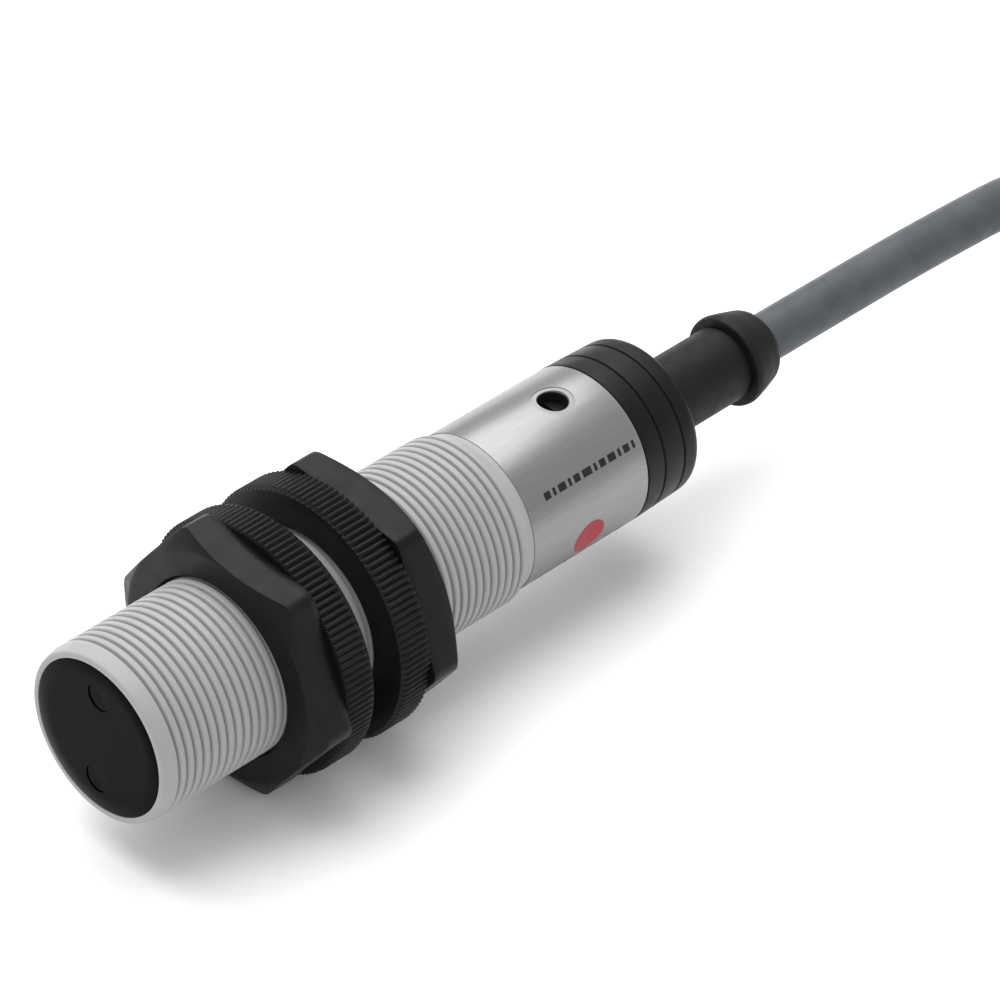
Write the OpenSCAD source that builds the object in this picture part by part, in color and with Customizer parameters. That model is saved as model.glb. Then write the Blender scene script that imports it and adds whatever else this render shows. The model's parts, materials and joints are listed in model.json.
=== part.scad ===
// Cylindrical photoelectric sensor: threaded plastic barrel, two clamping nuts, sensitivity
// adjuster, rear cap with strain relief, and a free cable folded into a tied hank.
// The origin is the centre of the front window's face. +Y runs from the front face to the cable,
// +Z points out of the adjuster hole. Millimetres and degrees.

/* [Barrel] */
// Crest diameter of the barrel's thread
thread_d = 18; // [14:0.5:24]
// Pitch of the thread
thread_pitch = 1; // [1:0.25:2]
// Where the full thread starts behind the front face
thread_start = 1.2; // [0.8:0.1:2]
// Where the thread ends and the barrel starts to step down
thread_end = 46.2; // [40:0.2:60]
// Length of the cone from the thread down to the plain barrel
step_len = 1.5; // [0.5:0.1:3]
// Depth of the step from thread crest to plain barrel, on the radius
step_depth = 0.55; // [0.4:0.05:1]
// Length of the barrel from its front face to the cap seam
barrel_len = 63.8; // [58:0.2:80]
// Wall of the plain barrel
wall = 1.05; // [0.8:0.05:1.6]
// How far the front rim is set in from the thread's crest, on the radius
lead_in = 0.35; // [0.2:0.05:0.6]

/* [Front optics] */
// Width of the front rim around the window, at the thread's crest
rim_w = 0.95; // [0.7:0.05:1.5]
// Thickness of the front window
window_t = 1.8; // [1:0.1:3]
// Radius of each lens
lens_r = 2.9; // [2:0.1:3]
// Thickness of the lens block's plate
lens_plate_t = 1.2; // [0.8:0.1:2]
// How far each lens bulges behind its plate
lens_bulge = 1.1; // [0.5:0.1:2]
// Length of the optics holder
holder_len = 11.4; // [9:0.2:14]
// Radius of the emitter's and the receiver's round packages
diode_r = 1.5; // [1:0.1:2]

/* [Nuts] */
// Width across the flats of each nut
nut_af = 24.3; // [22:0.1:32]
// Distance of each hexagon's turned corners from the axis
nut_corner_r = 13.85; // [12.5:0.05:16]
// Diameter over the knurl of each nut
nut_d = 26.4; // [24:0.2:34]
// Length of the knurled flange
flange_len = 3.65; // [2:0.05:5]
// Length of the hexagon
hex_len = 4; // [2:0.1:6]
// Teeth around each knurl
knurl_teeth = 120; // [60:4:160]
// Depth of the knurl
knurl_depth = 0.28; // [0.1:0.02:0.4]
// Radial clearance of each nut on the thread's crest
nut_gap = 0.06; // [0.03:0.01:0.1]
// Place of the front nut's front face at rest
nut_start = 14.8; // [8:0.1:20]
// Gap between the two nuts at rest
nut_spacing = 3.5; // [2:0.1:6]
// Turn of the nuts' hexagons about the barrel
nut_turn = 55.4; // [0:0.2:60]

/* [Adjuster] */
// Distance of the adjuster hole ahead of the cap seam
adjuster_back = 5.3; // [4.9:0.1:7]
// Radius of the adjuster hole in the barrel
adjuster_hole_r = 1.6; // [1.3:0.05:2]
// How far the adjuster's head lies below the barrel's bore
adjuster_drop = 0.35; // [0.1:0.05:0.6]
// Radius of the adjuster spindle's shaft
spindle_r = 1.3; // [1:0.05:1.35]
// Radius of the sealing bush around the spindle
bush_r = 2.6; // [2.2:0.1:2.8]

/* [Electronics] */
// Thickness of the circuit boards
board_t = 1; // [0.6:0.1:1.6]
// Half the width of the main board
board_half_w = 5.6; // [4:0.1:6]

/* [Label] */
// Thickness of the foil label
label_t = 0.08; // [0.05:0.01:0.2]
// Plain barrel left bare ahead of the label
label_inset = 0.4; // [0.2:0.1:2]
// Radius of the label's cut-out around the adjuster hole
label_hole_r = 2.1; // [1.8:0.1:2.5]

/* [Rear cap and cable entry] */
// Length of the rear cap
cap_len = 7.5; // [5:0.1:10]
// How far the cap's front edge stands proud of the barrel
cap_lip = 0.1; // [0:0.05:0.4]
// How much the cap narrows to its rear, on the radius
cap_taper = 0.24; // [0:0.02:0.5]
// Wall of the cap's spigot
spigot_wall = 1.3; // [1.1:0.1:1.6]
// Length of the strain relief's neck behind the cap
neck_len = 12.2; // [8:0.2:20]
// Radius of the strain relief's neck
neck_r = 3.95; // [3.4:0.05:4.6]
// Radius of the strain relief's collar
collar_r = 4.87; // [4.6:0.05:5.6]
// Length of the strain relief's collar
collar_len = 4.5; // [3:0.1:7]
// Outer diameter of the cable's sheath
cord_d = 5.1; // [4.2:0.1:6.2]
// Radius of each insulated core
core_r = 0.65; // [0.5:0.05:0.7]

/* [Hidden] */
$fn = 96;

// Clearances: a seated piece in its seat, a turning shaft in its bush, and a cut's overshoot
seat_gap = 0.03;
turn_gap = 0.05;
over = 1;

// Barrel; the thread is a row of ridges, as wide apart as its pitch
thread_r = thread_d / 2;
body_r = thread_r - step_depth;
rim_r = thread_r - lead_in;
window_r = thread_r - rim_w;
window_ledge = 0.5;
bore_r = min(body_r - wall, window_r - window_ledge);
seat_ledge = 0.1;
step_end = thread_end + step_len;
land_w = 0.45 * thread_pitch;
flank_w = 0.2 * thread_pitch;
root_r = thread_r - 0.5 * thread_pitch;
thread_turns = floor((thread_end - thread_start - land_w) / thread_pitch);

// Optics, each piece behind the last
inner_r = bore_r - seat_gap;
lens_y = window_t + seat_ledge;
holder_y = lens_y + lens_plate_t + seat_gap;
holder_end = holder_y + holder_len;
lens_wall = 0.5;
lens_z = inner_r - lens_wall - lens_r - seat_ledge;
tunnel_r = lens_r + seat_ledge;
diode_len = 4.2;
diode_flange_t = 0.8;
diode_flange_w = 0.4;
diode_flange_r = diode_r + diode_flange_w;
diode_y = holder_end - diode_len;
tunnel_stop = 0.6;
tunnel_floor = diode_y - tunnel_stop;
optics_board_y = holder_end + seat_gap;
optics_board_end = optics_board_y + board_t;
lead_r = 0.25;
lead_pitch = 2.54;
lead_hole_r = lead_r + turn_gap;
lead_stub = 0.6;

// Nuts
nut_r = nut_d / 2;
nut_len = hex_len + flange_len;
front_nut_end = nut_start + nut_len;
rear_nut_start = front_nut_end + nut_spacing;
rear_nut_end = rear_nut_start + nut_len;
nut_bore_r = thread_r + nut_gap;
flange_chamfer = 0.35;
face_chamfer_slope = 0.58;
face_inset = 0.1;
face_r = nut_af / 2 - face_inset;
hex_corner_r = nut_af / 2 / cos(30);
corner_r = min(nut_corner_r, hex_corner_r);
bore_chamfer = 0.25;

// Main board and what stands on it
board_standoff = 2;
board_y0 = optics_board_end + board_standoff;
spigot_clearance = 0.3;
spigot_len = adjuster_back - bush_r - spigot_clearance;
board_end_gap = 0.2;
board_y1 = barrel_len - spigot_len - board_end_gap;
board_top = board_t / 2;
board_bottom = -board_t / 2;
board_span = board_y1 - board_y0;
part_gap = 0.02;

// Adjuster, from the trimmer on the board up to the hole in the barrel
adjuster_y = barrel_len - adjuster_back;
trimmer_half = 2.1;
trimmer_h = 2.7;
trimmer_top = board_top + trimmer_h;
rotor_r = 1.4;
rotor_t = 0.6;
rotor_top = trimmer_top + rotor_t;
blade_t = 0.5;
blade_w = 0.6;
head_top = bore_r - adjuster_drop;
head_t = 0.5;
head_rim = 0.2;
head_r = spindle_r + head_rim;
head_bottom = head_top - head_t;
bush_floor = head_bottom - turn_gap;
bush_lift = 0.8;
bush_bottom = rotor_top + bush_lift;
bush_bore_r = spindle_r + turn_gap;
seal_z = (bush_floor + bush_bottom) / 2;
seal_minor = 0.28;
seal_major = bush_bore_r - seal_minor - part_gap;
seal_floor_r = seal_major - seal_minor - part_gap;
slot_w = 0.55;
slot_depth = 0.3;

// Label
label_y0 = step_end + label_inset;
label_rear_gap = 0.15;
label_y1 = barrel_len - label_rear_gap;
label_seam = 0.6;
label_seam_turn = 200;

// Cap, strain relief and the cable's way in
cord_r = cord_d / 2;
cap_r = body_r + cap_lip;
cap_rear_r = cap_r - cap_taper;
cap_end = barrel_len + cap_len;
cap_round = 0.5;
cap_groove_w = 0.3;
cap_groove_depth = 0.18;
cap_grooves = [0.32, 0.69];
cap_wall_t = 1.7;
spigot_r = bore_r - seat_gap;
cap_bore_r = spigot_r - spigot_wall;
cap_seal_minor = 0.45;
cap_seal_y = barrel_len - spigot_len / 2;
cap_seal_major = spigot_r - cap_seal_minor;
relief_flange_r = cap_bore_r - seat_gap;
relief_flange_t = 1.8;
relief_flange_y = cap_end - cap_wall_t - relief_flange_t - seat_gap;
relief_bore_r = cord_r + seat_gap;
collar_y = cap_end + neck_len;
relief_end = collar_y + collar_len;
tip_inset = 0.1;
relief_tip_r = neck_r - tip_inset;
tip_round = 0.6;
grip_wall = 1;
grip_r = cord_r + grip_wall;
grip_len = 1.6;
grip_y = relief_flange_y - grip_len - seat_gap;
cable_inset = 0.4;
cable_y0 = barrel_len + cable_inset;
core_gap = 0.1;
core_spread = core_r + core_gap;
core_lift = board_top + core_r + part_gap;
inner_core_len = 3.4;

// The surface the object lies on touches the nuts' knurls
rest_z = -nut_r;

// Free cable: from the strain relief down to the surface and into the hank. Its points are
// [across, along from the strain relief's end, up from the cable's axis]
cord_sides = 10;
usual_drop = 10.65;
run_points = [
    [0, 0, 0], [0, 12, -0.1], [0, 24, -0.3], [0, 36, -0.9], [0, 41, -1.6], [0.7, 46, -2.7],
    [2.8, 50.7, -4.2], [6.2, 54.8, -5.9], [11.1, 59, -7.9], [15.1, 63.5, -9.3],
    [18.2, 68.6, -10.2], [20.3, 74, -10.6], [21.3, 78.5, -10.65], [21.6, 83, -10.65]
];
drop_share = (nut_r - cord_r) / usual_drop;
run_route = [for (p = run_points) [p[0], relief_end + p[1], p[2] * drop_share]];

// The hank: turns side by side and on each other, drawn in at the tie
hank_y0 = relief_end + 83;
hank_straight = 70;
hank_fold_r = 21.6;
hank_layers = 4;
hank_pinch = 6;
hank_half = hank_straight / 2;
hank_y1 = hank_y0 + hank_straight;
hank_mid = hank_y0 + hank_half;
hank_top = rest_z + hank_layers * cord_d;
waist = hank_fold_r - hank_pinch;
waist_arc = (waist * waist + hank_half * hank_half - hank_fold_r * hank_fold_r)
    / (2 * hank_pinch);
waist_x = waist + waist_arc;
waist_angle = atan2(hank_half, waist_x);
hank_outer_r = hank_fold_r + cord_r;

// The last stretch of sheath rises onto the hank and follows its far fold; its points are
// [across, along from the hank's start, up from its place on top]
tail_z = hank_top + cord_r;
tail_points = [
    [15.5, 41, -4.9], [16.1, 46.6, -3.7], [17.2, 52.2, -1.9], [18.5, 57.8, -0.4],
    [20.4, 63.5, 0], [21.6, 69.4, 0], [20.9, 75.7, 0], [18.3, 81.5, 0], [14.2, 86.2, 0],
    [9, 89.6, 0], [2.8, 91.4, 0], [-3.4, 91.3, 0], [-8.9, 89.6, 0]
];
tail_route = [for (p = tail_points) p + [0, hank_y0, tail_z]];
// The stripped cores lie on the hank beyond the sheath's end and finish in ferrules
core_sides = 8;
core_z = hank_top + core_r;
brown_points = [
    [-8.9, 89.6, 3], [-12.9, 87.3, 1.6], [-16, 83.7, 0.3], [-18.1, 79.5, 0], [-19.2, 74.8, 0],
    [-19.3, 70, 0]
];
black_points = [
    [-9.3, 90.5, 1.3], [-13.9, 88.1, 0.4], [-17.9, 84.3, 0], [-20.8, 79.7, 0], [-22.3, 74.6, 0],
    [-23, 70, 0]
];
blue_points = [
    [-8.4, 88.6, 1.3], [-11.9, 86.2, 0.4], [-14.3, 82.6, 0], [-15.7, 78.4, 0], [-15.9, 73.8, 0],
    [-15.4, 69.4, 0]
];
function on_hank(points) = [for (p = points) p + [0, hank_y0, core_z]];
ferrule_r = 0.5;
ferrule_len = 6;
// Cable tie around the hank's waist
tie_t = 0.8;
tie_w = 3.6;
tie_gap = 0.05;
tie_slack = 0.2;
tie_in = waist + cord_r + tie_slack;
tie_top = hank_top + tie_t + tie_gap;
tie_corner = 0.6;
tie_head = [3.2, 5.4, 4.6];

// --- Helpers ---

// A solid of revolution about the Y axis, from points [radius, station]
module turned(points) {
    rotate([-90, 0, 0]) rotate_extrude() polygon(points);
}

// A cylinder along +Y between two stations
module rod_y(r, y0, y1, x = 0, z = 0) {
    translate([x, y0, z]) rotate([-90, 0, 0]) cylinder(r = r, h = y1 - y0);
}

// A vertical cylinder
module post_z(r, z0, z1, x = 0, y = 0) {
    translate([x, y, z0]) cylinder(r = r, h = z1 - z0);
}

// A block from its lowest to its highest corner
module block(low, high) {
    translate(low) cube(high - low);
}

// A ring of round section about the Y axis
module ring_y(major, minor, y) {
    translate([0, y, 0]) rotate([-90, 0, 0]) rotate_extrude() translate([major, 0])
        circle(r = minor, $fn = 32);
}

function unit(v) = v / norm(v);
function heading(route, i) =
    unit(route[min(i + 1, len(route) - 1)] - route[max(i - 1, 0)]);
function sideways(t) = unit(cross(t, [0, 0, 1]));
function ring_point(route, i, r, a) =
    let (t = heading(route, i), s = sideways(t))
    route[i] + r * (cos(a) * s + sin(a) * cross(s, t));

// A round tube with closed ends, swept along a route's points
module swept(route, r, sides) {
    last = len(route) - 1;
    points = [
        for (i = [0 : last], k = [0 : sides - 1]) ring_point(route, i, r, 360 * k / sides)
    ];
    skin = [
        for (i = [0 : last - 1], k = [0 : sides - 1])
            let (n = (k + 1) % sides)
            [i * sides + k, i * sides + n, (i + 1) * sides + n, (i + 1) * sides + k]
    ];
    start = [for (k = [0 : sides - 1]) sides - 1 - k];
    end = [for (k = [0 : sides - 1]) last * sides + k];
    polyhedron(points = points, faces = concat([start], skin, [end]));
}

// --- Housing ---

// One ridge and the groove behind it, as [radius, station] points
function ridge(y) = [
    [thread_r, y], [thread_r, y + land_w], [root_r, y + land_w + flank_w],
    [root_r, y + thread_pitch - flank_w]
];

module barrel_housing() {
    ridges = [
        for (k = [0 : thread_turns - 1], p = ridge(thread_start + k * thread_pitch)) p
    ];
    color("gainsboro") difference() {
        turned(concat(
            [[window_r + seat_gap, 0], [rim_r, 0]],
            ridges,
            [
                [thread_r, thread_start + thread_turns * thread_pitch], [thread_r, thread_end],
                [body_r, step_end], [body_r, barrel_len], [bore_r, barrel_len],
                [bore_r, window_t], [window_r + seat_gap, window_t]
            ]
        ));
        post_z(adjuster_hole_r, 0, thread_r + over, 0, adjuster_y);
    }
}

module front_window() {
    edge = 0.15;
    color("black") turned([
        [0, 0], [window_r - edge, 0], [window_r, edge], [window_r, window_t], [0, window_t]
    ]);
}

module foil_label() {
    color("silver") difference() {
        turned([
            [body_r, label_y0], [body_r + label_t, label_y0],
            [body_r + label_t, label_y1], [body_r, label_y1]
        ]);
        post_z(label_hole_r, 0, thread_r + over, 0, adjuster_y);
        rotate([0, -label_seam_turn, 0])
            block([0, label_y0 - over, -label_seam / 2],
                [thread_r + over, label_y1 + over, label_seam / 2]);
    }
}

// --- Optics ---

// One bulging lens behind the block's plate
module lens_bulge_at(z) {
    sphere_r = (lens_r * lens_r + lens_bulge * lens_bulge) / (2 * lens_bulge);
    back = lens_y + lens_plate_t;
    translate([0, back, z]) intersection() {
        rotate([-90, 0, 0]) translate([0, 0, lens_bulge - sphere_r]) sphere(r = sphere_r);
        rod_y(lens_r, -part_gap, lens_bulge + over);
    }
}

module lens_block() {
    color("lightcyan") {
        rod_y(inner_r, lens_y, lens_y + lens_plate_t);
        lens_bulge_at(lens_z);
        lens_bulge_at(-lens_z);
    }
}

module optics_holder() {
    color("dimgray") difference() {
        rod_y(inner_r, holder_y, holder_end);
        for (z = [lens_z, -lens_z]) {
            rod_y(tunnel_r, holder_y - over, tunnel_floor, 0, z);
            rod_y(diode_r + seat_gap, tunnel_floor - over, holder_end + over, 0, z);
            rod_y(diode_flange_r + seat_gap, holder_end - diode_flange_t - seat_gap,
                holder_end + over, 0, z);
        }
    }
}

// The two leads of a round diode package
module diode_leads(z) {
    for (x = [-lead_pitch / 2, lead_pitch / 2])
        rod_y(lead_r, holder_end - diode_flange_t, optics_board_end + lead_stub, x, z);
}

module emitter_led() {
    color("mistyrose") {
        translate([0, diode_y + diode_r, lens_z]) sphere(r = diode_r);
        rod_y(diode_r, diode_y + diode_r, holder_end, 0, lens_z);
        rod_y(diode_flange_r, holder_end - diode_flange_t, holder_end, 0, lens_z);
        diode_leads(lens_z);
    }
}

module receiver_diode() {
    color("darkslategray") {
        rod_y(diode_r, diode_y, holder_end, 0, -lens_z);
        rod_y(diode_flange_r, holder_end - diode_flange_t, holder_end, 0, -lens_z);
        diode_leads(-lens_z);
    }
}

// --- Boards ---

pin_rows = [-1.5, -0.5, 0.5, 1.5];
pin_pitch = 2;
pin_r = 0.3;
pin_reach = 3;

module optics_board() {
    color("darkgreen") difference() {
        rod_y(inner_r, optics_board_y, optics_board_end);
        for (z = [lens_z, -lens_z], x = [-lead_pitch / 2, lead_pitch / 2])
            rod_y(lead_hole_r, optics_board_y - over, optics_board_end + over, x, z);
        for (k = pin_rows)
            rod_y(pin_r + turn_gap, optics_board_y - over, optics_board_end + over,
                k * pin_pitch, board_top + pin_r + part_gap);
    }
}

module link_pins() {
    color("gold") for (k = pin_rows)
        rod_y(pin_r, optics_board_y, board_y0 + pin_reach, k * pin_pitch,
            board_top + pin_r + part_gap);
}

module main_board() {
    color("darkgreen") block([-board_half_w, board_y0, board_bottom],
        [board_half_w, board_y1, board_top]);
}

// A component lying on the main board: centre across, share of the board's length, sizes
module on_board(x, share, size, top = true) {
    y = board_y0 + share * board_span;
    z = top ? board_top + part_gap : board_bottom - part_gap - size[2];
    translate([x - size[0] / 2, y - size[1] / 2, z]) cube(size);
}

module shield_can() {
    can = [8.6, 10, 2.6];
    skin = 0.3;
    y = board_y0 + 0.2 * board_span;
    color("silver") difference() {
        on_board(0, 0.2, can, false);
        translate([skin - can[0] / 2, y + skin - can[1] / 2, board_bottom - can[2] + skin])
            cube([can[0] - 2 * skin, can[1] - 2 * skin, can[2]]);
    }
}

// A small-outline chip with a row of legs along each side
module signal_chip() {
    body = [3.8, 6, 1.3];
    leg = [5.8, 0.4, 0.25];
    color("black") {
        on_board(0, 0.36, body);
        for (k = [-1.5 : 1 : 1.5])
            on_board(0, 0.36 + k * 1.27 / board_span, leg);
    }
}

module output_transistor() {
    color("black") {
        on_board(0, 0.62, [4.6, 4.2, 1.6]);
        on_board(0, 0.62, [2.6, 6.6, 0.5]);
    }
}

module ceramic_capacitors() {
    color("burlywood") for (k = [0 : 3])
        on_board(-4.2, 0.3 + 0.11 * k, [1.3, 2, 0.9]);
}

module tantalum_capacitor() {
    color("goldenrod") on_board(0, 0.62, [3.5, 6.2, 2.4], false);
}

module chip_resistors() {
    color("black") {
        for (k = [0 : 4])
            on_board(4.2, 0.26 + 0.09 * k, [0.9, 1.7, 0.5]);
        for (k = [0 : 2])
            on_board(3.8, 0.46 + 0.1 * k, [0.9, 1.7, 0.5], false);
    }
}

module protection_diodes() {
    color("darkslategray") for (x = [-3.8, 3.8])
        on_board(x, 0.8, [1.6, 3.4, 1.1], false);
}

module status_leds() {
    color("khaki") for (x = [-3.8, 3.8])
        on_board(x, (adjuster_y - board_y0) / board_span, [1.2, 2, 0.8]);
}

// --- Adjuster ---

module trimmer_body() {
    half = trimmer_half;
    color("royalblue") difference() {
        block([-half, adjuster_y - half, board_top + part_gap],
            [half, adjuster_y + half, trimmer_top]);
        post_z(rotor_r + turn_gap, trimmer_top - rotor_t, trimmer_top + over, 0, adjuster_y);
    }
}

module trimmer_rotor() {
    color("white") difference() {
        post_z(rotor_r, trimmer_top - rotor_t + turn_gap, rotor_top, 0, adjuster_y);
        block([-rotor_r, adjuster_y - blade_w / 2 - part_gap, rotor_top - blade_t - part_gap],
            [rotor_r, adjuster_y + blade_w / 2 + part_gap, rotor_top + over]);
    }
}

// Its top follows the barrel's bore, and its counterbore holds the spindle's head
module adjuster_bush() {
    color("dimgray") difference() {
        intersection() {
            post_z(bush_r, bush_bottom, bore_r, 0, adjuster_y);
            rod_y(inner_r, adjuster_y - bush_r - over, adjuster_y + bush_r + over);
        }
        post_z(bush_bore_r, bush_bottom - over, bore_r, 0, adjuster_y);
        post_z(head_r + turn_gap, bush_floor, bore_r, 0, adjuster_y);
    }
}

// Slotted head, shaft with a seal groove, and a blade that sits in the trimmer's rotor
module adjuster_spindle() {
    groove = seal_minor + part_gap;
    color("darkslategray") difference() {
        union() {
            post_z(spindle_r, rotor_top, head_bottom, 0, adjuster_y);
            post_z(head_r, head_bottom, head_top, 0, adjuster_y);
            block([-spindle_r, adjuster_y - blade_w / 2, rotor_top - blade_t],
                [spindle_r, adjuster_y + blade_w / 2, rotor_top + part_gap]);
        }
        difference() {
            post_z(spindle_r + over, seal_z - groove, seal_z + groove, 0, adjuster_y);
            post_z(seal_floor_r, seal_z - over, seal_z + over, 0, adjuster_y);
        }
        block([-head_r, adjuster_y - slot_w / 2, head_top - slot_depth],
            [head_r, adjuster_y + slot_w / 2, head_top + over]);
    }
}

module adjuster_seal() {
    color("black") translate([0, adjuster_y, seal_z]) rotate_extrude()
        translate([seal_major, 0]) circle(r = seal_minor, $fn = 32);
}

// --- Rear cap and cable entry ---

module rear_cap() {
    color("black") difference() {
        turned([
            [cap_bore_r, barrel_len - spigot_len], [spigot_r, barrel_len - spigot_len],
            [spigot_r, barrel_len], [cap_r, barrel_len],
            [cap_rear_r, cap_end - cap_round], [cap_rear_r - cap_round, cap_end],
            [neck_r + seat_gap, cap_end], [neck_r + seat_gap, cap_end - cap_wall_t],
            [cap_bore_r, cap_end - cap_wall_t]
        ]);
        for (share = cap_grooves)
            cap_groove(barrel_len + share * cap_len, cap_r - share * cap_taper);
        // Seat of the ring that seals the cap in the barrel
        turned([
            [cap_seal_major - cap_seal_minor, cap_seal_y - cap_seal_minor],
            [spigot_r + over, cap_seal_y - cap_seal_minor],
            [spigot_r + over, cap_seal_y + cap_seal_minor],
            [cap_seal_major - cap_seal_minor, cap_seal_y + cap_seal_minor]
        ]);
    }
}

// A vee groove around the cap
module cap_groove(y, r) {
    half = cap_groove_w / 2 * (cap_groove_depth + over) / cap_groove_depth;
    turned([[r - cap_groove_depth, y], [r + over, y - half], [r + over, y + half]]);
}

module cap_seal() {
    color("firebrick") ring_y(cap_seal_major, cap_seal_minor - part_gap, cap_seal_y);
}

// The collar's outside from its front edge, as [inset from its radius, share of its length]
collar_curve = [[0.15, 0], [0, 0.045], [0.05, 0.2], [0.35, 0.4], [0.62, 0.62]];

module strain_relief() {
    undercut = 0.3;
    undercut_y = collar_y - 0.2;
    tip_step = tip_round / 4;
    color("black") turned(concat(
        [
            [relief_bore_r, relief_flange_y], [relief_flange_r, relief_flange_y],
            [relief_flange_r, relief_flange_y + relief_flange_t],
            [neck_r, relief_flange_y + relief_flange_t],
            [neck_r, undercut_y - undercut], [neck_r - undercut, undercut_y],
            [neck_r - undercut, collar_y]
        ],
        [for (p = collar_curve) [collar_r - p[0], collar_y + p[1] * collar_len]],
        [
            [relief_tip_r + tip_step, relief_end - tip_round],
            [relief_tip_r - tip_step, relief_end - tip_step],
            [relief_tip_r - tip_round, relief_end], [relief_bore_r, relief_end]
        ]
    ));
}

module cable_grip() {
    color("gold") difference() {
        rod_y(grip_r, grip_y, grip_y + grip_len);
        rod_y(relief_bore_r, grip_y - over, grip_y + grip_len + over);
    }
}

module cable_entry() {
    color("slategray") rod_y(cord_r, cable_y0, relief_end);
}

// One insulated core from the cable's end to its pad on the main board
module inner_core(x, z) {
    rod_y(core_r, cable_y0 - inner_core_len, cable_y0, x, z);
}

module inner_core_brown() { color("saddlebrown") inner_core(-core_spread, core_lift); }
module inner_core_black() { color("black") inner_core(core_spread, core_lift); }
module inner_core_blue() { color("royalblue") inner_core(0, -core_lift); }

// --- Nuts ---

// A nut with its hexagon's face at station 0 and its knurled flange behind it
module nut() {
    rotate([-90, 0, 0]) difference() {
        union() {
            intersection() {
                rotate([0, 0, -nut_turn])
                    cylinder(r = hex_corner_r, h = nut_len, $fn = 6);
                rotate_extrude() polygon([
                    [0, 0], [face_r, 0], [corner_r, face_chamfer_slope * (corner_r - face_r)],
                    [corner_r, hex_len], [0, hex_len]
                ]);
            }
            intersection() {
                linear_extrude(nut_len) polygon([
                    for (k = [0 : 2 * knurl_teeth - 1])
                        let (r = nut_r - (k % 2) * knurl_depth, a = 180 * k / knurl_teeth)
                        [r * cos(a), r * sin(a)]
                ]);
                rotate_extrude() polygon([
                    [0, hex_len], [nut_r + over, hex_len],
                    [nut_r + over, nut_len - flange_chamfer - over],
                    [nut_r - flange_chamfer, nut_len], [0, nut_len]
                ]);
            }
        }
        translate([0, 0, -over]) cylinder(r = nut_bore_r, h = nut_len + 2 * over);
        translate([0, 0, -over])
            cylinder(r1 = nut_bore_r + bore_chamfer + over, r2 = nut_bore_r, h = bore_chamfer + over);
    }
}

module front_nut() { color("black") translate([0, nut_start, 0]) nut(); }
module rear_nut() {
    color("black") translate([0, rear_nut_end, 0]) mirror([0, 1, 0]) nut();
}

// --- Free cable ---

module cable_run() { color("slategray") swept(run_route, cord_r, cord_sides); }
module cable_tail() { color("slategray") swept(tail_route, cord_r, cord_sides); }

// Outline of the hank: two round folds, and a waist drawn in by arcs that run on from them
module hank_outline() {
    shoulder = (hank_outer_r - tie_gap) * [cos(waist_angle), sin(waist_angle)];
    difference() {
        union() {
            translate([0, hank_y0]) circle(r = hank_outer_r);
            translate([0, hank_y1]) circle(r = hank_outer_r);
            translate([-shoulder[0], hank_y0 + shoulder[1]])
                square([2 * shoulder[0], hank_straight - 2 * shoulder[1]]);
        }
        for (side = [-1, 1])
            translate([side * waist_x, hank_mid]) circle(r = waist_arc - cord_r - tie_gap);
    }
}

module cable_hank() {
    color("slategray") difference() {
        translate([0, 0, rest_z]) linear_extrude(hank_top - rest_z) hank_outline();
        block([-hank_outer_r, hank_mid - tie_w / 2 - tie_gap, rest_z - over],
            [hank_outer_r, hank_mid + tie_w / 2 + tie_gap, rest_z + tie_t + tie_gap]);
    }
}

// The tie's loop seen along the hank, grown outwards by a thickness
module tie_outline(grow) {
    low = rest_z + tie_t - grow;
    side = tie_in + grow;
    high = tie_top + grow;
    polygon([
        [-side, low], [side, low], [side, high - tie_corner], [side - tie_corner, high],
        [tie_corner - side, high], [-side, high - tie_corner]
    ]);
}

module cable_tie() {
    color("black") {
        translate([0, hank_mid + tie_w / 2, 0]) rotate([90, 0, 0]) linear_extrude(tie_w)
            difference() {
                tie_outline(tie_t);
                tie_outline(0);
            }
        translate([-tie_in - tie_head[0], hank_mid - tie_head[1] / 2, -tie_head[2] / 2])
            cube(tie_head);
    }
}

module end_core_brown() { color("saddlebrown") swept(on_hank(brown_points), core_r, core_sides); }
module end_core_black() { color("black") swept(on_hank(black_points), core_r, core_sides); }
module end_core_blue() { color("royalblue") swept(on_hank(blue_points), core_r, core_sides); }

// The ferrule on a core's end, in line with the core's last stretch
module ferrule(route) {
    tip = route[len(route) - 1];
    way = tip - route[len(route) - 2];
    translate(tip) rotate([0, 0, atan2(way[1], way[0])]) rotate([0, 90, 0])
        cylinder(r = ferrule_r, h = ferrule_len);
}

module core_ferrules() {
    color("silver") {
        ferrule(on_hank(brown_points));
        ferrule(on_hank(black_points));
        ferrule(on_hank(blue_points));
    }
}

barrel_housing();
front_window();
lens_block();
optics_holder();
emitter_led();
receiver_diode();
optics_board();
link_pins();
main_board();
shield_can();
signal_chip();
output_transistor();
ceramic_capacitors();
tantalum_capacitor();
chip_resistors();
protection_diodes();
status_leds();
trimmer_body();
trimmer_rotor();
adjuster_bush();
adjuster_spindle();
adjuster_seal();
foil_label();
rear_cap();
cap_seal();
strain_relief();
cable_grip();
cable_entry();
inner_core_brown();
inner_core_black();
inner_core_blue();
front_nut();
rear_nut();
cable_run();
cable_hank();
cable_tail();
cable_tie();
end_core_brown();
end_core_black();
end_core_blue();
core_ferrules();
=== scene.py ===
"""Cylindrical M18 photoelectric sensor: finished meshes, materials, light and camera.

Metres. +Y runs from the front face to the cable, +Z points out of the adjuster hole.
"""
import json
import math

import bmesh
import bpy
import numpy as np
from mathutils import Matrix, Vector


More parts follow.
